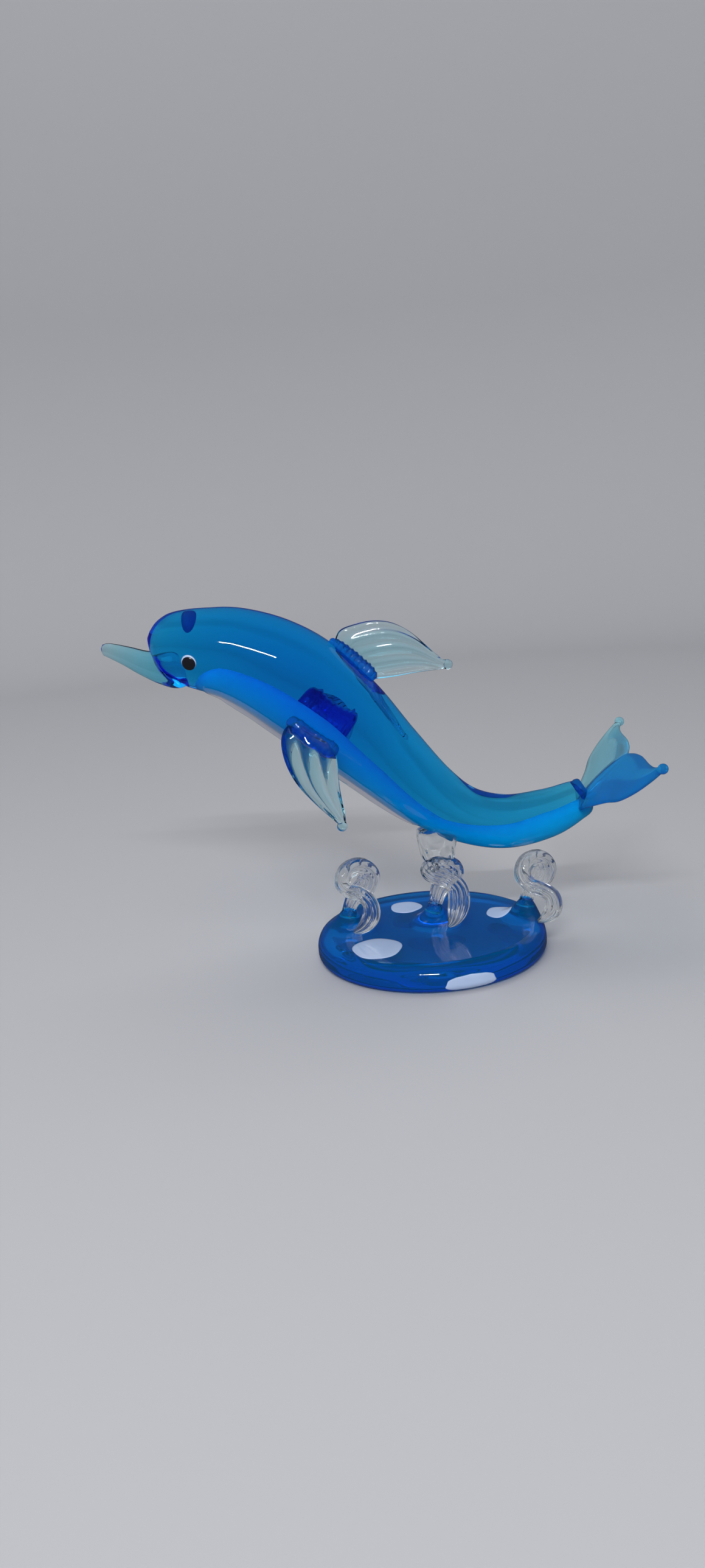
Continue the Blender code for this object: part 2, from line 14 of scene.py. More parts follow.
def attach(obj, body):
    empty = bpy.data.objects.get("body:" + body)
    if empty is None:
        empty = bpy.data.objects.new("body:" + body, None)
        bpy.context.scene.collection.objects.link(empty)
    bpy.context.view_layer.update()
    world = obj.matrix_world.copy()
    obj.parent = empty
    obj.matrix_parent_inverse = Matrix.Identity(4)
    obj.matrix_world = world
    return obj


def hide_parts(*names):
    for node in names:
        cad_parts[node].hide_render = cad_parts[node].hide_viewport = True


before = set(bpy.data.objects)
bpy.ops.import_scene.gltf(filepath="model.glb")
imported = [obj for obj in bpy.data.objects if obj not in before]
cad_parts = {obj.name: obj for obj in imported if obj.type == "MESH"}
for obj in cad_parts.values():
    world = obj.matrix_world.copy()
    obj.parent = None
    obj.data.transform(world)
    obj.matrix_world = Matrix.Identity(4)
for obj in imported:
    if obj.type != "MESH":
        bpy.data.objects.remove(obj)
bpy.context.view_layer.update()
MM = 0.001

# Camera: a phone's wide lens held about 26 cm away, tilted down and turned a little
CAMERA_PITCH = radians(13.4)
CAMERA_ROLL = radians(4.3)
CAMERA_TARGET = (-15.4, 0.0, 40.0)
CAMERA_DISTANCE = 260.0
CAMERA_LENS = 27.04

# Body: centre line (x, z) and radius, forehead to tail
BODY = [(-56.5, 72.3, 0.6), (-56.2, 72.4, 2.6), (-55.1, 72.6, 4.8), (-52.9, 72.8, 6.8),
        (-49.5, 72.8, 8.0), (-44.4, 72.0, 9.0), (-38.2, 70.6, 9.9), (-31.2, 67.3, 10.8),
        (-24.4, 62.4, 11.2), (-16.0, 54.4, 10.5), (-7.8, 45.6, 8.9), (1.0, 36.6, 7.4),
        (9.0, 31.2, 6.3), (18.0, 28.9, 6.0), (27.0, 30.0, 5.5), (33.4, 32.4, 4.5),
        (35.4, 33.4, 3.9), (36.3, 33.9, 2.6), (36.6, 34.1, 1.0)]
BODY_RINGS = 200
BODY_SIDES = 72

# Belly rod: (share of the body's length, upper edge), lower edge, and the shares between which
# it runs. The edges are in parts of the body's radius below its centre line.
BELLY_TOP = [(0.0, 0.30), (0.2, 0.24), (0.4, 0.16), (0.55, 0.20), (0.7, 0.28), (0.8, 0.12),
             (0.9, 0.0), (1.0, 0.05)]
BELLY_BOTTOM = 0.975
BELLY_START, BELLY_END = 0.10, 0.985
BELLY_RINGS = 120
BELLY_NOSE_RINGS = 7.0

# Clear skin under the belly: shares of the body's length, half angle, depth and thickness
SKIN_START, SKIN_END = 0.115, 0.665
SKIN_RINGS = 90
SKIN_HALF_ANGLE = radians(38)
SKIN_DEPTH = 0.25
SKIN_THICKNESS = 1.1
SKIN_LEAST = 0.02


# Base, and the mounds where the waves rise from it
BASE_RADIUS = 25.93
BASE_HEIGHT = 6.0
BASE_TOP_ROUND = 3.2
BASE_BOTTOM_ROUND = 1.8
BASE_SEGMENTS = 240
MOUND_HEIGHT = 4.4
MOUND_RADIUS = 2.9
MOUND_POWER = 2.8

# Beak: centre line (x, z), half height and half width
BEAK = [(-66.9, 73.6, 0.4, 0.4), (-66.4, 73.6, 1.2, 1.2), (-64.8, 73.2, 1.6, 1.7),
        (-61.5, 71.8, 2.1, 2.6), (-58.0, 70.1, 2.7, 3.5), (-54.5, 68.9, 3.5, 4.4),
        (-51.5, 68.3, 4.1, 4.8), (-49.5, 68.2, 3.6, 4.2), (-48.3, 68.3, 2.0, 2.4)]

# Eyes: (x, z) on each side, the pupil's radius and how far it is moved from the white bead
EYE_POINTS = {"left": (-47.5, 70.5), "right": (-47.5, 74.45)}
PUPIL_RADIUS = {"left": 1.5, "right": 1.75}
WHITE_RING = 0.15
EYE_WHITE_DEPTH = 0.5
PUPIL_DEPTH = 0.52
PUPIL_RISE = 0.22
PUPIL_SHIFT = (-0.05, 0, 0.16)

# Fins and welds (x, y, z); the left pectoral fin is turned round the body to give the right one
DORSAL_LEADING = [(-17.0, 0, 71.8), (-15.6, 0, 74.0), (-12.5, 0, 75.0), (-8.5, 0, 75.5),
                  (-4.5, 0, 74.8), (-0.6, 0, 72.5), (3.0, 0, 69.0), (5.9, 0, 66.1)]
DORSAL_TRAILING = [(-8.9, 0, 62.9), (-7.4, 0, 63.0), (-5.4, 0, 63.1), (-3.0, 0, 63.3),
                   (-0.4, 0, 63.6), (2.4, 0, 63.8), (4.8, 0, 63.9), (6.7, 0, 64.1)]
DORSAL_TIP = (7.0, 0, 64.9)
DORSAL_WELD = [(-18.0, 0, 72.0), (-15.6, 0, 70.1), (-13.2, 0, 67.8), (-11.0, 0, 65.4),
               (-8.9, 0, 62.9)]
PECTORAL_LEADING = [(-26.3, -9.9, 56.6), (-28.6, -10.9, 55.6), (-29.6, -12.0, 52.8),
                    (-29.0, -13.1, 48.6), (-27.0, -14.0, 44.2), (-23.6, -14.8, 40.0),
                    (-20.6, -15.4, 37.0), (-19.0, -15.6, 35.4)]
PECTORAL_TRAILING = [(-19.0, -9.4, 50.4), (-18.4, -10.2, 49.4), (-18.2, -11.2, 47.4),
                     (-18.2, -12.4, 44.8), (-18.0, -13.6, 41.6), (-17.6, -14.6, 38.8),
                     (-17.4, -15.2, 36.8), (-17.4, -15.6, 35.8)]
PECTORAL_TIP = (-18.2, -15.8, 34.9)
PECTORAL_WELD = [(-27.6, -9.6, 57.4), (-25.4, -9.3, 54.6), (-23.0, -9.0, 52.4),
                 (-20.4, -8.8, 50.4), (-18.0, -8.9, 49.2)]
RIGHT_PECTORAL_TURN = radians(20)
RIGHT_PECTORAL_PIVOT = (-24.4, 0, 62.4)
RIGHT_PECTORAL_AXIS = (8.4, 0, -8.0)
TIP_BEAD_RADIUS = 1.1

# Flukes: (distance along the tail, distance out from the middle plane)
FLUKE_ORIGIN = (37.1, 0, 34.3)
FLUKE_PITCH = radians(43)
FLUKE_SWING = radians(-3.0)
FLUKE_LEADING = [(-4.6, 0.0), (-4.2, 3.6), (-1.4, 8.0), (1.4, 12.5), (3.6, 17.0),
                 (7.0, 20.0), (10.6, 21.4), (13.4, 21.6)]
FLUKE_TRAILING = [(11.8, 0.0), (12.9, 3.4), (13.5, 7.0), (13.6, 10.6), (13.6, 14.4),
                  (13.9, 17.8), (14.6, 20.0), (15.4, 21.2)]
FLUKE_TIP = (14.96, 22.0)
COLLAR_CENTRE = (34.9, 0, 34.7)
COLLAR_PITCH = radians(30)
COLLAR_RADIUS = 2.8

# Waves: foot (x, y) on the base, and the strap's route from there, above the base's top
WAVES = {
    "left_wave": ((-18.5, 2.6), [
        (-0.3, -0.2, 2.0), (0.5, 0.3, 4.8), (2.2, 1.1, 7.3), (4.5, 1.2, 9.3), (5.1, 0.3, 12.0),
        (3.2, -1.0, 14.3), (0.5, -2.4, 14.1), (-0.8, -3.8, 12.0), (0.6, -5.0, 10.2),
        (3.2, -6.2, 9.5), (5.0, -7.2, 7.7), (5.2, -7.8, 5.2), (4.1, -8.1, 3.4),
        (2.6, -8.3, 2.2), (1.0, -8.4, 1.5)]),
    "middle_wave": ((1.2, 1.6), [
        (-0.6, -0.2, 2.0), (0.4, 0.3, 4.7), (1.4, 1.1, 7.1), (3.0, 1.2, 9.2), (4.4, 0.3, 11.5),
        (3.4, -1.0, 13.6), (0.8, -2.4, 14.5), (-0.9, -3.8, 13.8), (0.4, -5.0, 12.6),
        (2.7, -6.2, 11.9), (4.7, -7.2, 10.1), (5.0, -7.8, 7.4), (4.4, -8.1, 4.9),
        (3.4, -8.3, 2.9), (2.3, -8.4, 1.6)]),
    "right_wave": ((22.0, 1.2), [
        (-0.3, -0.2, 2.0), (0.5, 0.3, 4.6), (2.2, 1.1, 6.9), (4.1, 0.9, 8.8), (4.5, 0.2, 11.3),
        (2.6, -1.0, 13.5), (0.0, -2.4, 13.2), (-1.0, -3.8, 11.0), (0.3, -5.0, 8.9),
        (2.6, -6.2, 8.1), (4.6, -7.2, 6.8), (5.0, -7.8, 4.8), (4.2, -8.1, 3.1),
        (2.8, -8.3, 2.0), (1.2, -8.4, 1.4)]),
}
WAVE_HALF_WIDTH = [1.6, 1.6, 2.1, 2.5, 2.7, 2.8, 2.8, 2.6, 2.3, 2.2, 2.4, 2.6, 2.3, 1.5, 0.4]

# Clear pad between the middle wave and the belly: (height, half width)
PAD_CENTRE = (2.5, -0.2)
PAD_LEVELS = [(20.8, 2.2), (21.5, 3.1), (22.3, 3.6), (23.4, 3.85), (25.0, 4.05), (27.0, 4.25),
              (28.2, 4.1), (28.6, 3.0)]
PAD_DEPTH = 0.85
PAD_SQUARENESS = 0.55
PAD_FLUTE = 0.05

# White spots on the base: centre (x, y) and half sizes, and the patch round the rim
SPOTS = {
    "spot_front_left": ((-12.7, -12.8), (5.4, 5.8)),
    "spot_back_left": ((-4.9, 12.1), (3.7, 4.1)),
    "spot_back_right": ((16.0, 3.4), (2.9, 3.8)),
}
SPOT_LAYERS = [(-0.6, 0.5), (-0.5, 0.8), (-0.25, 0.95), (0.0, 1.0), (0.05, 0.985), (0.08, 0.93),
               (0.09, 0.7), (0.09, 0.3)]
RIM_SPOT_BEARING = radians(-76)
RIM_SPOT_HALF_ANGLE = radians(12.5)
RIM_SPOT_HEIGHTS = (0.3, 3.9)
RIM_SPOT_PROUD = 0.06
RIM_SPOT_DEPTH = 0.5

FLOOR_LEVEL = -0.15     # just clear of the base's underside, so that the two never coincide


# ---------------------------------------------------------------- curves and meshes

def smooth(points, steps):
    """Catmull-Rom curve through the points, with the given steps from one to the next."""
    knots = [np.array(point, dtype=float) for point in points]
    knots = [2 * knots[0] - knots[1]] + knots + [2 * knots[-1] - knots[-2]]
    curve = []
    for a, b, c, d in zip(knots, knots[1:], knots[2:], knots[3:]):
        for step in range(steps):
            t = step / steps
            curve.append(0.5 * (2 * b + (c - a) * t + (2 * a - 5 * b + 4 * c - d) * t * t
                                + (3 * b - a - 3 * c + d) * t ** 3))
    curve.append(knots[-2])
    return np.array(curve)


def resample(curve, count, axes):
    """Evenly spaced rows along a dense curve; the first axes columns are its position."""
    lengths = np.linalg.norm(np.diff(curve[:, :axes], axis=0), axis=1)
    travelled = np.concatenate([[0.0], np.cumsum(lengths)])
    wanted = np.linspace(0.0, travelled[-1], count)
    return np.stack([np.interp(wanted, travelled, column) for column in curve.T], axis=1)


def make_object(name, points, faces, material):
    """Smooth-shaded object from points in millimetres."""
    mesh = bpy.data.meshes.new(name)
    mesh.from_pydata([tuple(p) for p in np.array(points) * MM], [], faces)
    work = bmesh.new()
    work.from_mesh(mesh)
    bmesh.ops.recalc_face_normals(work, faces=work.faces)
    if work.calc_volume(signed=True) < 0:
        bmesh.ops.reverse_faces(work, faces=work.faces)
    work.to_mesh(mesh)
    work.free()
    mesh.shade_smooth()
    mesh.materials.append(material)
    item = bpy.data.objects.new(name, mesh)
    bpy.context.scene.collection.objects.link(item)
    return item


def ring_faces(count, sides, first=0):
    """Quads between neighbouring rings of points."""
    faces = []
    for i in range(count - 1):
        for k in range(sides):
            a = first + i * sides + k
            b = first + i * sides + (k + 1) % sides
            faces.append((a, b, b + sides, a + sides))
    return faces


def loft(name, rings, material):
    """Closed solid through rings of equally many points, with fans over its ends."""
    rings = np.array(rings)
    count, sides = rings.shape[:2]
    points = list(rings.reshape(-1, 3))
    faces = ring_faces(count, sides)
    for start in (0, (count - 1) * sides):
        points.append(np.mean(points[start:start + sides], axis=0))
        middle = len(points) - 1
        faces += [(start + k, start + (k + 1) % sides, middle) for k in range(sides)]
    return make_object(name, points, faces, material)


def frames(path, side):
    """Centre, side and up vectors along a path, turned as little as possible."""
    side = np.array(side, dtype=float)
    result = []
    for i, centre in enumerate(path):
        tangent = path[min(i + 1, len(path) - 1)] - path[max(i - 1, 0)]
        tangent = tangent / np.linalg.norm(tangent)
        side = side - tangent * side.dot(tangent)
        side = side / np.linalg.norm(side)
        result.append((centre, side, np.cross(tangent, side)))
    return result


def sweep_rings(path, side, section, sides):
    """Rings along a path; section(share of the length, angle) gives offsets across and up."""
    rings = []
    for i, (centre, across, up) in enumerate(frames(path, side)):
        share = i / (len(path) - 1)
        ring = []
        for k in range(sides):
            a, b = section(share, 2 * pi * k / sides)
            ring.append(centre + across * a + up * b)
        rings.append(ring)
    return rings


def tube_rings(path, radii, sides):
    """Round rings along a path on the middle plane, one radius for each of its points."""
    def section(share, angle):
        radius = radii[round(share * (len(path) - 1))]
        return radius * cos(angle), radius * sin(angle)

    return sweep_rings(path, (0, 1, 0), section, sides)


def ellipsoid(name, centre, axes, radii, material, segments=40, rings=24):
    """Ellipsoid whose radii run along the rows of axes."""
    points, faces = [], []
    for i in range(1, rings):
        turn = pi * i / rings
        for k in range(segments):
            angle = 2 * pi * k / segments
            local = np.array([sin(turn) * cos(angle), sin(turn) * sin(angle), cos(turn)])
            points.append(np.array(centre) + (local * radii) @ np.array(axes))
    faces = ring_faces(rings - 1, segments)
    for start, pole in ((0, 1.0), ((rings - 2) * segments, -1.0)):
        points.append(np.array(centre) + np.array([0, 0, pole * radii[2]]) @ np.array(axes))
        middle = len(points) - 1
        faces += [(start + k, start + (k + 1) % segments, middle) for k in range(segments)]
    return make_object(name, points, faces, material)


# ---------------------------------------------------------------- materials

def glass(name, absorb, tint=(1.0, 1.0, 1.0), roughness=0.0, wave=0.02, wave_scale=120.0,
          mottle=0.04, ior=1.5, cloud=0.0):
    """Coloured glass; absorb gives the loss of red, green and blue per millimetre.

    cloud is the part of the light that the glass scatters back in its own tint.
    """
    material = bpy.data.materials.new(name)
    material.use_nodes = True
    tree = material.node_tree
    shader = tree.nodes["Principled BSDF"]
    shader.inputs["Transmission Weight"].default_value = 1.0 - cloud
    shader.inputs["IOR"].default_value = ior
    place = tree.nodes.new("ShaderNodeTexCoord")
    noise = tree.nodes.new("ShaderNodeTexNoise")
    noise.inputs["Scale"].default_value = wave_scale
    noise.inputs["Detail"].default_value = 2.0
    tree.links.new(place.outputs["Object"], noise.inputs["Vector"])
    ramp = tree.nodes.new("ShaderNodeMapRange")
    ramp.inputs["To Min"].default_value = roughness
    ramp.inputs["To Max"].default_value = roughness + 0.006
    tree.links.new(noise.outputs["Fac"], ramp.inputs["Value"])
    tree.links.new(ramp.outputs["Result"], shader.inputs["Roughness"])
    colour = tree.nodes.new("ShaderNodeMix")
    colour.data_type = "RGBA"
    colour.inputs["A"].default_value = (*tint, 1.0)
    colour.inputs["B"].default_value = (*[value * (1 - mottle) for value in tint], 1.0)
    tree.links.new(noise.outputs["Fac"], colour.inputs["Factor"])
    tree.links.new(colour.outputs["Result"], shader.inputs["Base Color"])
    bump = tree.nodes.new("ShaderNodeBump")
    bump.inputs["Strength"].default_value = wave
    bump.inputs["Distance"].default_value = 0.001
    tree.links.new(noise.outputs["Fac"], bump.inputs["Height"])
    tree.links.new(bump.outputs["Normal"], shader.inputs["Normal"])
    density = max(absorb) * 1000.0
    volume = tree.nodes.new("ShaderNodeVolumeAbsorption")
    volume.inputs["Density"].default_value = density
    volume.inputs["Color"].default_value = (
        *[1.0 - value * 1000.0 / density for value in absorb], 1.0)
    tree.links.new(volume.outputs["Volume"], tree.nodes["Material Output"].inputs["Volume"])
    return material


def opaque(name, light, dark, scale, roughness=0.12, coat=0.4, gloss=0.5):
    """Opaque glass with cloudy colour."""
    material = bpy.data.materials.new(name)
    material.use_nodes = True
    tree = material.node_tree
    shader = tree.nodes["Principled BSDF"]
    shader.inputs["Roughness"].default_value = roughness
    shader.inputs["IOR"].default_value = 1.5
    shader.inputs["Coat Weight"].default_value = coat
    shader.inputs["Specular IOR Level"].default_value = gloss
    place = tree.nodes.new("ShaderNodeTexCoord")
    noise = tree.nodes.new("ShaderNodeTexNoise")
    noise.inputs["Scale"].default_value = scale
    noise.inputs["Detail"].default_value = 4.0
    tree.links.new(place.outputs["Object"], noise.inputs["Vector"])
    colour = tree.nodes.new("ShaderNodeMix")
    colour.data_type = "RGBA"
    colour.inputs["A"].default_value = (*light, 1.0)
    colour.inputs["B"].default_value = (*dark, 1.0)
    tree.links.new(noise.outputs["Fac"], colour.inputs["Factor"])
    tree.links.new(colour.outputs["Result"], shader.inputs["Base Color"])
    return material


TEAL = glass("teal_glass_look", (0.33, 0.052, 0.002), wave=0.006)
AQUA = glass("aqua_glass_look", (0.22, 0.042, 0.006), roughness=0.005, wave=0.05)
COBALT = glass("cobalt_glass_look", (0.75, 0.17, 0.008), (0.01, 0.30, 0.92), wave=0.1,
               wave_scale=300, cloud=0.22)
BASE_BLUE = glass("base_glass_look", (0.36, 0.045, 0.002), (0.01, 0.48, 0.95), cloud=0.10)
CLEAR = glass("clear_glass_look", (0.012, 0.007, 0.005), wave=0.05, wave_scale=260)
SKIN = glass("belly_skin_look", (0.05, 0.045, 0.028), wave=0.02, ior=1.03)
FLUKE_BLUE = glass("fluke_glass_look", (0.26, 0.05, 0.004), (0.03, 0.46, 0.95), wave=0.05,
                   cloud=0.25)
FLUKE_TEAL = glass("far_fluke_glass_look", (0.22, 0.038, 0.006), (0.60, 0.90, 0.98), wave=0.05,
                   cloud=0.12)
BELLY = opaque("belly_glass_look", (0.0, 0.66, 1.0), (0.0, 0.54, 1.0), 60, 0.5, 0.0, 0.0)
WHITE = opaque("white_glass_look", (0.52, 0.64, 0.86), (0.40, 0.52, 0.78), 160)
BLACK = opaque("black_glass_look", (0.006, 0.006, 0.010), (0.012, 0.012, 0.02), 200, 0.05, 1.0)


def finish_piece(piece, slot_name, *nodes):
    """Put the piece on the body and hide the CAD nodes it stands for."""
    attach(piece, "root")
    if nodes:
        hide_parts(*nodes)


# ---------------------------------------------------------------- body and belly

def body_rows(count=BODY_RINGS):
    """Even rows (x, z, radius) along the body."""
    dense = smooth(BODY, 16)
    return resample(dense, count, 2)


def body_at(rows, share):
    """Row at a share of the body's length, and the body's direction (x, z) there."""
    at = share * (len(rows) - 1)
    row = np.array([np.interp(at, range(len(rows)), column) for column in rows.T])
    ahead = rows[min(int(at) + 1, len(rows) - 1)] - rows[int(at) - 1]
    return row, ahead[:2] / np.linalg.norm(ahead[:2])


def path_3d(rows):
    """Positions on the middle plane from (x, z, ...) rows."""
    return np.stack([rows[:, 0], np.zeros(len(rows)), rows[:, 1]], axis=1)


def make_body():
    """Solid teal body."""
    rows = body_rows()
    body = loft("body_glass", tube_rings(path_3d(rows), rows[:, 2], BODY_SIDES), TEAL)
    finish_piece(body, "teal_glass", "body")


def make_belly():
    """Rod of bright blue glass just under the surface of the belly."""
    rows = body_rows(161)
    top = np.array(BELLY_TOP)
    path, radii = [], []
    for i in range(BELLY_RINGS):
        share = BELLY_START + (BELLY_END - BELLY_START) * i / (BELLY_RINGS - 1)
        row, tangent = body_at(rows, share)
        upper = np.interp(share, top[:, 0], top[:, 1])
        drop = (BELLY_BOTTOM + upper) / 2 * row[2]
        nose = min(i / BELLY_NOSE_RINGS, 1.0)
        swell = sqrt(max(1.0 - (1.0 - nose) ** 2, 0.004))
        radius = (BELLY_BOTTOM - upper) / 2 * row[2]
        path.append((row[0] + tangent[1] * drop, 0.0, row[1] - tangent[0] * drop))
        radii.append(radius * swell)
    belly = loft("belly_rod", tube_rings(np.array(path), radii, 40), BELLY)
    finish_piece(belly, "belly_blue_glass", "belly_inlay")


def make_strip():
    """Clear skin under the belly."""
    rows = body_rows(161)
    rings = []
    for i in range(SKIN_RINGS):
        share = SKIN_START + (SKIN_END - SKIN_START) * i / (SKIN_RINGS - 1)
        row, tangent = body_at(rows, share)
        fade = min(1.0, 6 * i / SKIN_RINGS, 6 * (SKIN_RINGS - 1 - i) / SKIN_RINGS) ** 0.5
        up = np.array([-tangent[1], 0.0, tangent[0]])
        inner, outer = [], []
        for k in range(17):
            angle = SKIN_HALF_ANGLE * (k / 8.0 - 1.0)
            thickness = SKIN_LEAST + SKIN_THICKNESS * fade * cos(pi / 2 * (k / 8.0 - 1.0)) ** 0.8
            direction = np.array([0, sin(angle), 0]) - up * cos(angle)
            centre = np.array([row[0], 0.0, row[1]])
            inner.append(centre + direction * (row[2] - SKIN_DEPTH))
            outer.append(centre + direction * (row[2] + SKIN_LEAST + thickness))
        rings.append(inner + outer[::-1])
    strip = loft("belly_skin", rings, SKIN)
    finish_piece(strip, "clear_glass", "belly_strip")


def side_point(x, z, hand):
    """Point on the side of the body and the way out of the glass there."""
    rows = body_rows(400)
    nearest = rows[np.argmin(np.hypot(rows[:, 0] - x, rows[:, 1] - z))]
    rise = z - nearest[1]
    y = hand * sqrt(nearest[2] ** 2 - rise ** 2)
    out = np.array([0.0, y, rise]) / nearest[2] + np.array([-0.3, 0.0, 0.0])
    return np.array([x, y, z]), out / np.linalg.norm(out)


def make_eye(side_name, hand):
    """White bead and black pupil let into the side of the head."""
    point, out = side_point(*EYE_POINTS[side_name], hand)
    across = np.cross([0, 0, 1], out)
    across /= np.linalg.norm(across)
    axes = (across, np.cross(out, across), out)
    size = PUPIL_RADIUS[side_name]
    radii = (size + WHITE_RING, size + WHITE_RING, EYE_WHITE_DEPTH)
    white = ellipsoid(side_name + "_eye_white_bead", point, axes, radii, WHITE)
    finish_piece(white, "white_glass", side_name + "_eye_white")
    centre = point + out * PUPIL_RISE - np.array(PUPIL_SHIFT)
    pupil = ellipsoid(side_name + "_eye_pupil_bead", centre, axes, (size, size, PUPIL_DEPTH),
                      BLACK)
    finish_piece(pupil, "black_glass", side_name + "_eye_pupil")


def make_beak():
    """Pale beak with the crease of the mouth along both sides."""
    rows = resample(smooth(BEAK, 12), 60, 2)

    def section(share, angle):
        row = rows[round(share * 59)]
        crease = 1.0 - 0.16 * max(0.0, abs(cos(angle)) - 0.8) / 0.2
        return row[3] * crease * cos(angle), row[2] * sin(angle)

    beak = loft("beak_glass", sweep_rings(path_3d(rows), (0, 1, 0), section, 56), AQUA)
    finish_piece(beak, "aqua_clear_glass", "beak")


# ---------------------------------------------------------------- fins

def align(rings):
    """Turn each ring's start, so that neighbouring rings face each other point by point."""
    result = [np.array(rings[0])]
    for ring in rings[1:]:
        ring = np.array(ring)
        choices = []
        for order in (ring, ring[::-1]):
            choices += [np.roll(order, k, axis=0) for k in range(len(order))]
        last = result[-1]
        result.append(min(choices, key=lambda c: np.linalg.norm(c - last, axis=1).sum()))
    return result


def blade_rings(leading, trailing, thickness, tip, ribs, rib_count, sides=48):
    """Rings of a ribbed fin that ends in a round bead."""
    front, back = smooth(leading, 6), smooth(trailing, 6)
    count = len(front)
    lean = front[count // 2] - front[0]
    flat = np.cross(lean, back[0] - front[0])
    flat /= np.linalg.norm(flat)
    rings = []
    for i, (a, b) in enumerate(zip(front, back)):
        middle, half = (a + b) / 2, (a - b) / 2
        share = i / (count - 1)
        depth = (thickness[0] * (1 - share) + thickness[1] * share) / 2
        ring = []
        for k in range(sides):
            angle = 2 * pi * k / sides
            wave = 1.0 + ribs * sin(pi * share) * cos(pi * rib_count * cos(angle))
            ring.append(middle + half * cos(angle) + flat * depth * sin(angle) * wave)
        rings.append(ring)
    end = np.array(tip, dtype=float)
    direction = end - np.mean(rings[-1], axis=0)
    direction /= np.linalg.norm(direction)
    sideways = np.cross(direction, flat)
    sideways /= np.linalg.norm(sideways)
    for step in range(11):
        turn = -0.5 + 2.0 * step / 10
        size, advance = TIP_BEAD_RADIUS * cos(turn), TIP_BEAD_RADIUS * sin(turn)
        rings.append([end + direction * advance + sideways * size * cos(2 * pi * k / sides)
                      + flat * size * sin(2 * pi * k / sides) for k in range(sides)])
    return align(rings)


def weld_rings(points, radii, crimps, depth):
    """Rings of a crimped bead."""
    path = smooth(points, 24)

    def section(share, angle):
        end = 0.35 + 0.65 * min(1.0, 6 * share, 6 * (1 - share)) ** 0.5
        size = radii[0] * (1 - share) + radii[1] * share
        size *= 1.0 - depth * (0.5 + 0.5 * cos(2 * pi * crimps * share + 0.8 * sin(angle)))
        return size * end * cos(angle), size * end * sin(angle)

    return sweep_rings(path, (0, 1, 0.1), section, 32)


def right_side(points):
    """The left fin's points carried over to the right side, a little further up it."""
    pivot = Vector(RIGHT_PECTORAL_PIVOT)
    turn = Matrix.Rotation(RIGHT_PECTORAL_TURN, 3, Vector(RIGHT_PECTORAL_AXIS))
    return [tuple(pivot + turn @ (Vector((x, -y, z)) - pivot)) for x, y, z in points]


def make_fins():
    """Dorsal and pectoral fins with their welds."""
    dorsal = loft("dorsal_fin_glass", blade_rings(DORSAL_LEADING, DORSAL_TRAILING, (3.0, 1.5),
                                                  DORSAL_TIP, 0.24, 4), AQUA)
    finish_piece(dorsal, "aqua_clear_glass", "dorsal_fin")
    weld = loft("dorsal_fin_bead", weld_rings(DORSAL_WELD, (1.3, 1.9), 11, 0.14), COBALT)
    finish_piece(weld, "cobalt_glass", "dorsal_fin_weld")
    for side_name, place in (("left", list), ("right", right_side)):
        rings = blade_rings(place(PECTORAL_LEADING), place(PECTORAL_TRAILING), (2.9, 1.7),
                            place([PECTORAL_TIP])[0], 0.28, 3)
        fin = loft(side_name + "_pectoral_glass", rings, AQUA)
        finish_piece(fin, "aqua_clear_glass", side_name + "_pectoral_fin")
        weld = loft(side_name + "_pectoral_bead",
                    weld_rings(place(PECTORAL_WELD), (2.0, 2.3), 9, 0.05), COBALT)
        finish_piece(weld, "cobalt_glass", side_name + "_pectoral_weld")


def make_tail():
    """Collar and the two flukes."""
    axis = np.array([cos(COLLAR_PITCH), 0, sin(COLLAR_PITCH)])
    offsets = np.linspace(-1.1, 1.1, 15)
    path = np.array([np.array(COLLAR_CENTRE) + axis * value for value in offsets])

    def section(share, angle):
        bulge = 0.80 + 0.20 * sin(pi * share) ** 0.6
        size = COLLAR_RADIUS * bulge * (1 + 0.03 * cos(7 * angle))
        return size * cos(angle), size * sin(angle)

    collar = loft("tail_collar", sweep_rings(path, (0, 1, 0), section, 56), COBALT)
    finish_piece(collar, "cobalt_glass", "tail_weld")
    along = np.array([cos(FLUKE_PITCH), 0, sin(FLUKE_PITCH)])
    for side_name, hand in (("left", -1), ("right", 1)):
        def place(points):
            placed = []
            for s, y in points:
                swung = s * cos(FLUKE_SWING) - hand * y * sin(FLUKE_SWING)
                across = y * cos(FLUKE_SWING) + hand * s * sin(FLUKE_SWING)
                position = np.array(FLUKE_ORIGIN) + along * swung
                placed.append((position[0], hand * max(across, 0.02), position[2]))
            return placed
        rings = blade_rings(place(FLUKE_LEADING), place(FLUKE_TRAILING), (2.8, 1.5),
                            place([FLUKE_TIP])[0], 0.03, 2)
        fluke = loft(side_name + "_fluke_glass", rings, FLUKE_BLUE if hand < 0 else FLUKE_TEAL)
        finish_piece(fluke, "fluke_blue_glass", side_name + "_fluke")


# ---------------------------------------------------------------- base and waves

def rim_profile():
    """Rounded edge of the base as (radius, height), from the underside to the top."""
    points = []
    for k in range(13):
        angle = radians(-90 + 7.5 * k)
        points.append((BASE_RADIUS - BASE_BOTTOM_ROUND + BASE_BOTTOM_ROUND * cos(angle),
                       BASE_BOTTOM_ROUND + BASE_BOTTOM_ROUND * sin(angle)))
    for k in range(17):
        angle = radians(90 * k / 16)
        points.append((BASE_RADIUS - BASE_TOP_ROUND + BASE_TOP_ROUND * cos(angle),
                       BASE_HEIGHT - BASE_TOP_ROUND + BASE_TOP_ROUND * sin(angle)))
    return points


def mound(x, y):
    """Height that the wave roots add to the top of the base."""
    height = 0.0
    for foot, _ in WAVES.values():
        away = sqrt((x - foot[0]) ** 2 + (y - foot[1]) ** 2)
        height += MOUND_HEIGHT / (1.0 + (away / MOUND_RADIUS) ** MOUND_POWER)
    return height


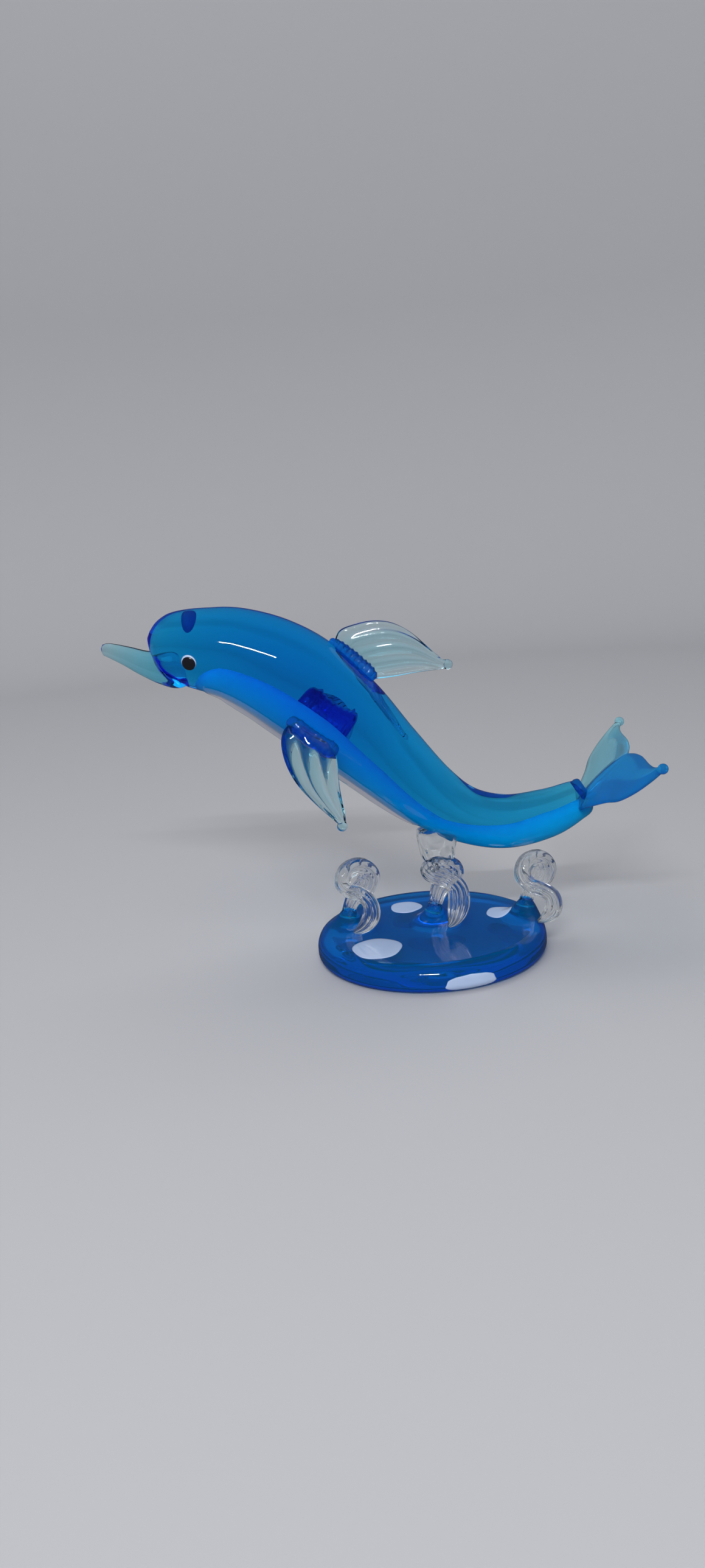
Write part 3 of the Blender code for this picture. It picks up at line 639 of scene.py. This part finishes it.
def make_base():
    """Round base whose top swells up into the roots of the waves."""
    radii = [2.0 + 22.2 * k / 6 for k in range(6)]
    profile = [(radius, 0.0) for radius in radii[:-1]] + rim_profile()
    inner = np.linspace(BASE_RADIUS - BASE_TOP_ROUND, 0.6, 90)[1:]
    profile += [(radius, BASE_HEIGHT) for radius in inner]
    rings = []
    for radius, height in profile:
        ring = []
        for k in range(BASE_SEGMENTS):
            angle = 2 * pi * k / BASE_SEGMENTS
            x, y = radius * cos(angle), radius * sin(angle)
            lift = mound(x, y) * max(0.0, min(1.0, (height - 3.0) / 3.0))
            ring.append((x, y, height + lift))
        rings.append(ring)
    base = loft("base_glass", rings, BASE_BLUE)
    finish_piece(base, "base_blue_glass", "base_disc", "left_wave_root", "middle_wave_root",
                 "right_wave_root")


def make_spots():
    """White glass melted level with the top of the base, and one patch round the rim."""
    for number, (name, (centre, half)) in enumerate(SPOTS.items()):
        rings = []
        for lift, scale in SPOT_LAYERS:
            ring = []
            for k in range(72):
                angle = 2 * pi * k / 72
                wobble = 1 + 0.03 * sin(3 * angle + number) + 0.02 * sin(5 * angle + 2 * number)
                x = centre[0] + half[0] * scale * wobble * cos(angle)
                y = centre[1] + half[1] * scale * wobble * sin(angle)
                ring.append((x, y, BASE_HEIGHT + mound(x, y) + lift))
            rings.append(ring)
        finish_piece(loft(name + "_glass", rings, WHITE), "white_glass", name)
    make_rim_spot()


def make_rim_spot():
    """Patch that wraps round the front of the rim."""
    low, high = RIM_SPOT_HEIGHTS
    profile = [point for point in rim_profile() if low < point[1] < high]
    lengths = np.linspace(-1, 1, len(profile))
    columns = 33
    outer, inner = [], []
    for (radius, height), across in zip(profile, lengths):
        half = RIM_SPOT_HALF_ANGLE * sqrt(max(0.0, 1 - across ** 2)) + 0.002
        bearings = [RIM_SPOT_BEARING + half * (2 * k / (columns - 1) - 1)
                    for k in range(columns)]
        outer.append([(radius + RIM_SPOT_PROUD, bearing, height) for bearing in bearings])
        inner.append([(radius - RIM_SPOT_DEPTH, bearing, height) for bearing in bearings])
    points, faces = [], []
    rows = len(profile)
    for sheet in (outer, inner):
        for row in sheet:
            points += [(r * cos(a), r * sin(a), z) for r, a, z in row]
    size = rows * columns
    for i in range(rows - 1):
        for k in range(columns - 1):
            a = i * columns + k
            faces.append((a, a + 1, a + columns + 1, a + columns))
            faces.append((size + a + columns, size + a + columns + 1, size + a + 1, size + a))
    edge = ([i * columns for i in range(rows)],
            [i * columns + columns - 1 for i in range(rows)][::-1])
    top = [(rows - 1) * columns + k for k in range(columns)]
    bottom = list(range(columns))[::-1]
    for line in (edge[0], edge[1], top, bottom):
        for a, b in zip(line, line[1:]):
            faces.append((a, b, size + b, size + a))
    spot = make_object("spot_front_rim_glass", points, faces, WHITE)
    finish_piece(spot, "white_glass", "spot_front_rim")


def make_waves():
    """Clear ribbed straps that curl over."""
    for name, (foot, route) in WAVES.items():
        rows = [(foot[0] + x, foot[1] + y, BASE_HEIGHT + z, width)
                for (x, y, z), width in zip(route, WAVE_HALF_WIDTH)]
        rows = resample(smooth(rows, 16), 180, 3)

        def section(share, angle):
            width = rows[round(share * 179)][3]
            flat = 1.0 - 0.42 * min(1.0, share * 5)
            ribs = 1.0 + 0.24 * min(1.0, share * 5) * cos(5 * pi * sin(angle) + 5 * share)
            return flat * width * ribs * cos(angle), width * sin(angle)

        strap = loft(name + "_strap", sweep_rings(rows[:, :3], (0, 1, 0), section, 96), CLEAR)
        finish_piece(strap, "clear_glass", name + "_curl")


def make_pad():
    """Clear fluted pad that carries the dolphin."""
    levels = smooth([(0.0, 0.0, height, half) for height, half in PAD_LEVELS], 6)
    rings = []
    for _, _, height, half in levels:
        ring = []
        for k in range(96):
            a, b = cos(2 * pi * k / 96), sin(2 * pi * k / 96)
            fluted = half * (1 + PAD_FLUTE * cos(2 * pi * k / 12 + height))
            ring.append((PAD_CENTRE[0] + fluted * copysign(abs(a) ** PAD_SQUARENESS, a),
                         PAD_CENTRE[1] + fluted * PAD_DEPTH
                         * copysign(abs(b) ** PAD_SQUARENESS, b), height))
        rings.append(ring)
    finish_piece(loft("support_pad_glass", rings, CLEAR), "clear_glass", "support_pad")


# ---------------------------------------------------------------- studio

def make_studio():
    """Pale floor that curves up all round, soft light and the camera."""
    grey = bpy.data.materials.new("studio_grey")
    grey.use_nodes = True
    shader = grey.node_tree.nodes["Principled BSDF"]
    shader.inputs["Base Color"].default_value = (0.46, 0.465, 0.49, 1.0)
    shader.inputs["Roughness"].default_value = 0.6
    profile = [(radius, FLOOR_LEVEL) for radius in (30.0, 200.0, 450.0)]
    profile += [(650 + 250 * sin(radians(a)), 249.85 - 250 * cos(radians(a)))
                for a in range(0, 91, 6)]
    profile += [(900.0, 1200.0)]
    points = [(radius * cos(radians(5 * k)), radius * sin(radians(5 * k)) - 150.0, z)
              for radius, z in profile for k in range(72)]
    faces = ring_faces(len(profile), 72) + [tuple(range(71, -1, -1))]
    mesh = bpy.data.meshes.new("studio_floor")
    mesh.from_pydata([tuple(MM * v for v in p) for p in points], [], faces)
    mesh.materials.append(grey)
    mesh.shade_smooth()
    floor = bpy.data.objects.new("studio_floor", mesh)
    bpy.context.scene.collection.objects.link(floor)
    floor.visible_glossy = False

    world = bpy.data.worlds.new("studio_world")
    world.use_nodes = True
    world.node_tree.nodes["Background"].inputs["Color"].default_value = (0.80, 0.81, 0.84, 1)
    world.node_tree.nodes["Background"].inputs["Strength"].default_value = 0.06
    bpy.context.scene.world = world

    def lamp(name, place, target, size, power, mirrored=True):
        light = bpy.data.lights.new(name, "AREA")
        light.shape = "RECTANGLE"
        light.size, light.size_y = size[0] * MM, size[1] * MM
        light.energy = power
        item = bpy.data.objects.new(name, light)
        item.location = Vector(place) * MM
        item.rotation_euler = (Vector(target) - Vector(place)).to_track_quat("-Z", "Y").to_euler()
        item.visible_glossy = mirrored
        bpy.context.scene.collection.objects.link(item)

    lamp("tube_light", (-60, -640, 470), (-20, 0, 45), (300, 9), 2.8)
    lamp("soft_top", (-160, 350, 1000), (0, 50, 30), (1200, 900), 6.2, mirrored=False)
    lamp("soft_front", (-260, -700, 900), (0, 100, 30), (900, 700), 4.6, mirrored=False)

    scene = bpy.context.scene
    scene.view_settings.view_transform = "Standard"
    scene.cycles.max_bounces = 24
    scene.cycles.transmission_bounces = 24
    scene.cycles.transparent_max_bounces = 16

    camera = bpy.data.cameras.new("camera")
    camera.lens = CAMERA_LENS
    camera.sensor_width = 36.0
    camera.clip_start = 0.01
    item = bpy.data.objects.new("camera", camera)
    forward = Vector((0, cos(CAMERA_PITCH), -sin(CAMERA_PITCH)))
    level = Vector((1, 0, 0))
    above = level.cross(forward)
    right = level * cos(CAMERA_ROLL) - above * sin(CAMERA_ROLL)
    up = level * sin(CAMERA_ROLL) + above * cos(CAMERA_ROLL)
    turn = Matrix((right, up, -forward)).transposed().to_4x4()
    place = (Vector(CAMERA_TARGET) - forward * CAMERA_DISTANCE) * MM
    item.matrix_world = Matrix.Translation(place) @ turn
    scene.collection.objects.link(item)
    scene.camera = item


make_body()
make_belly()
make_strip()
make_eye("left", -1)
make_eye("right", 1)
make_beak()
make_fins()
make_tail()
make_base()
make_spots()
make_waves()
make_pad()
make_studio()
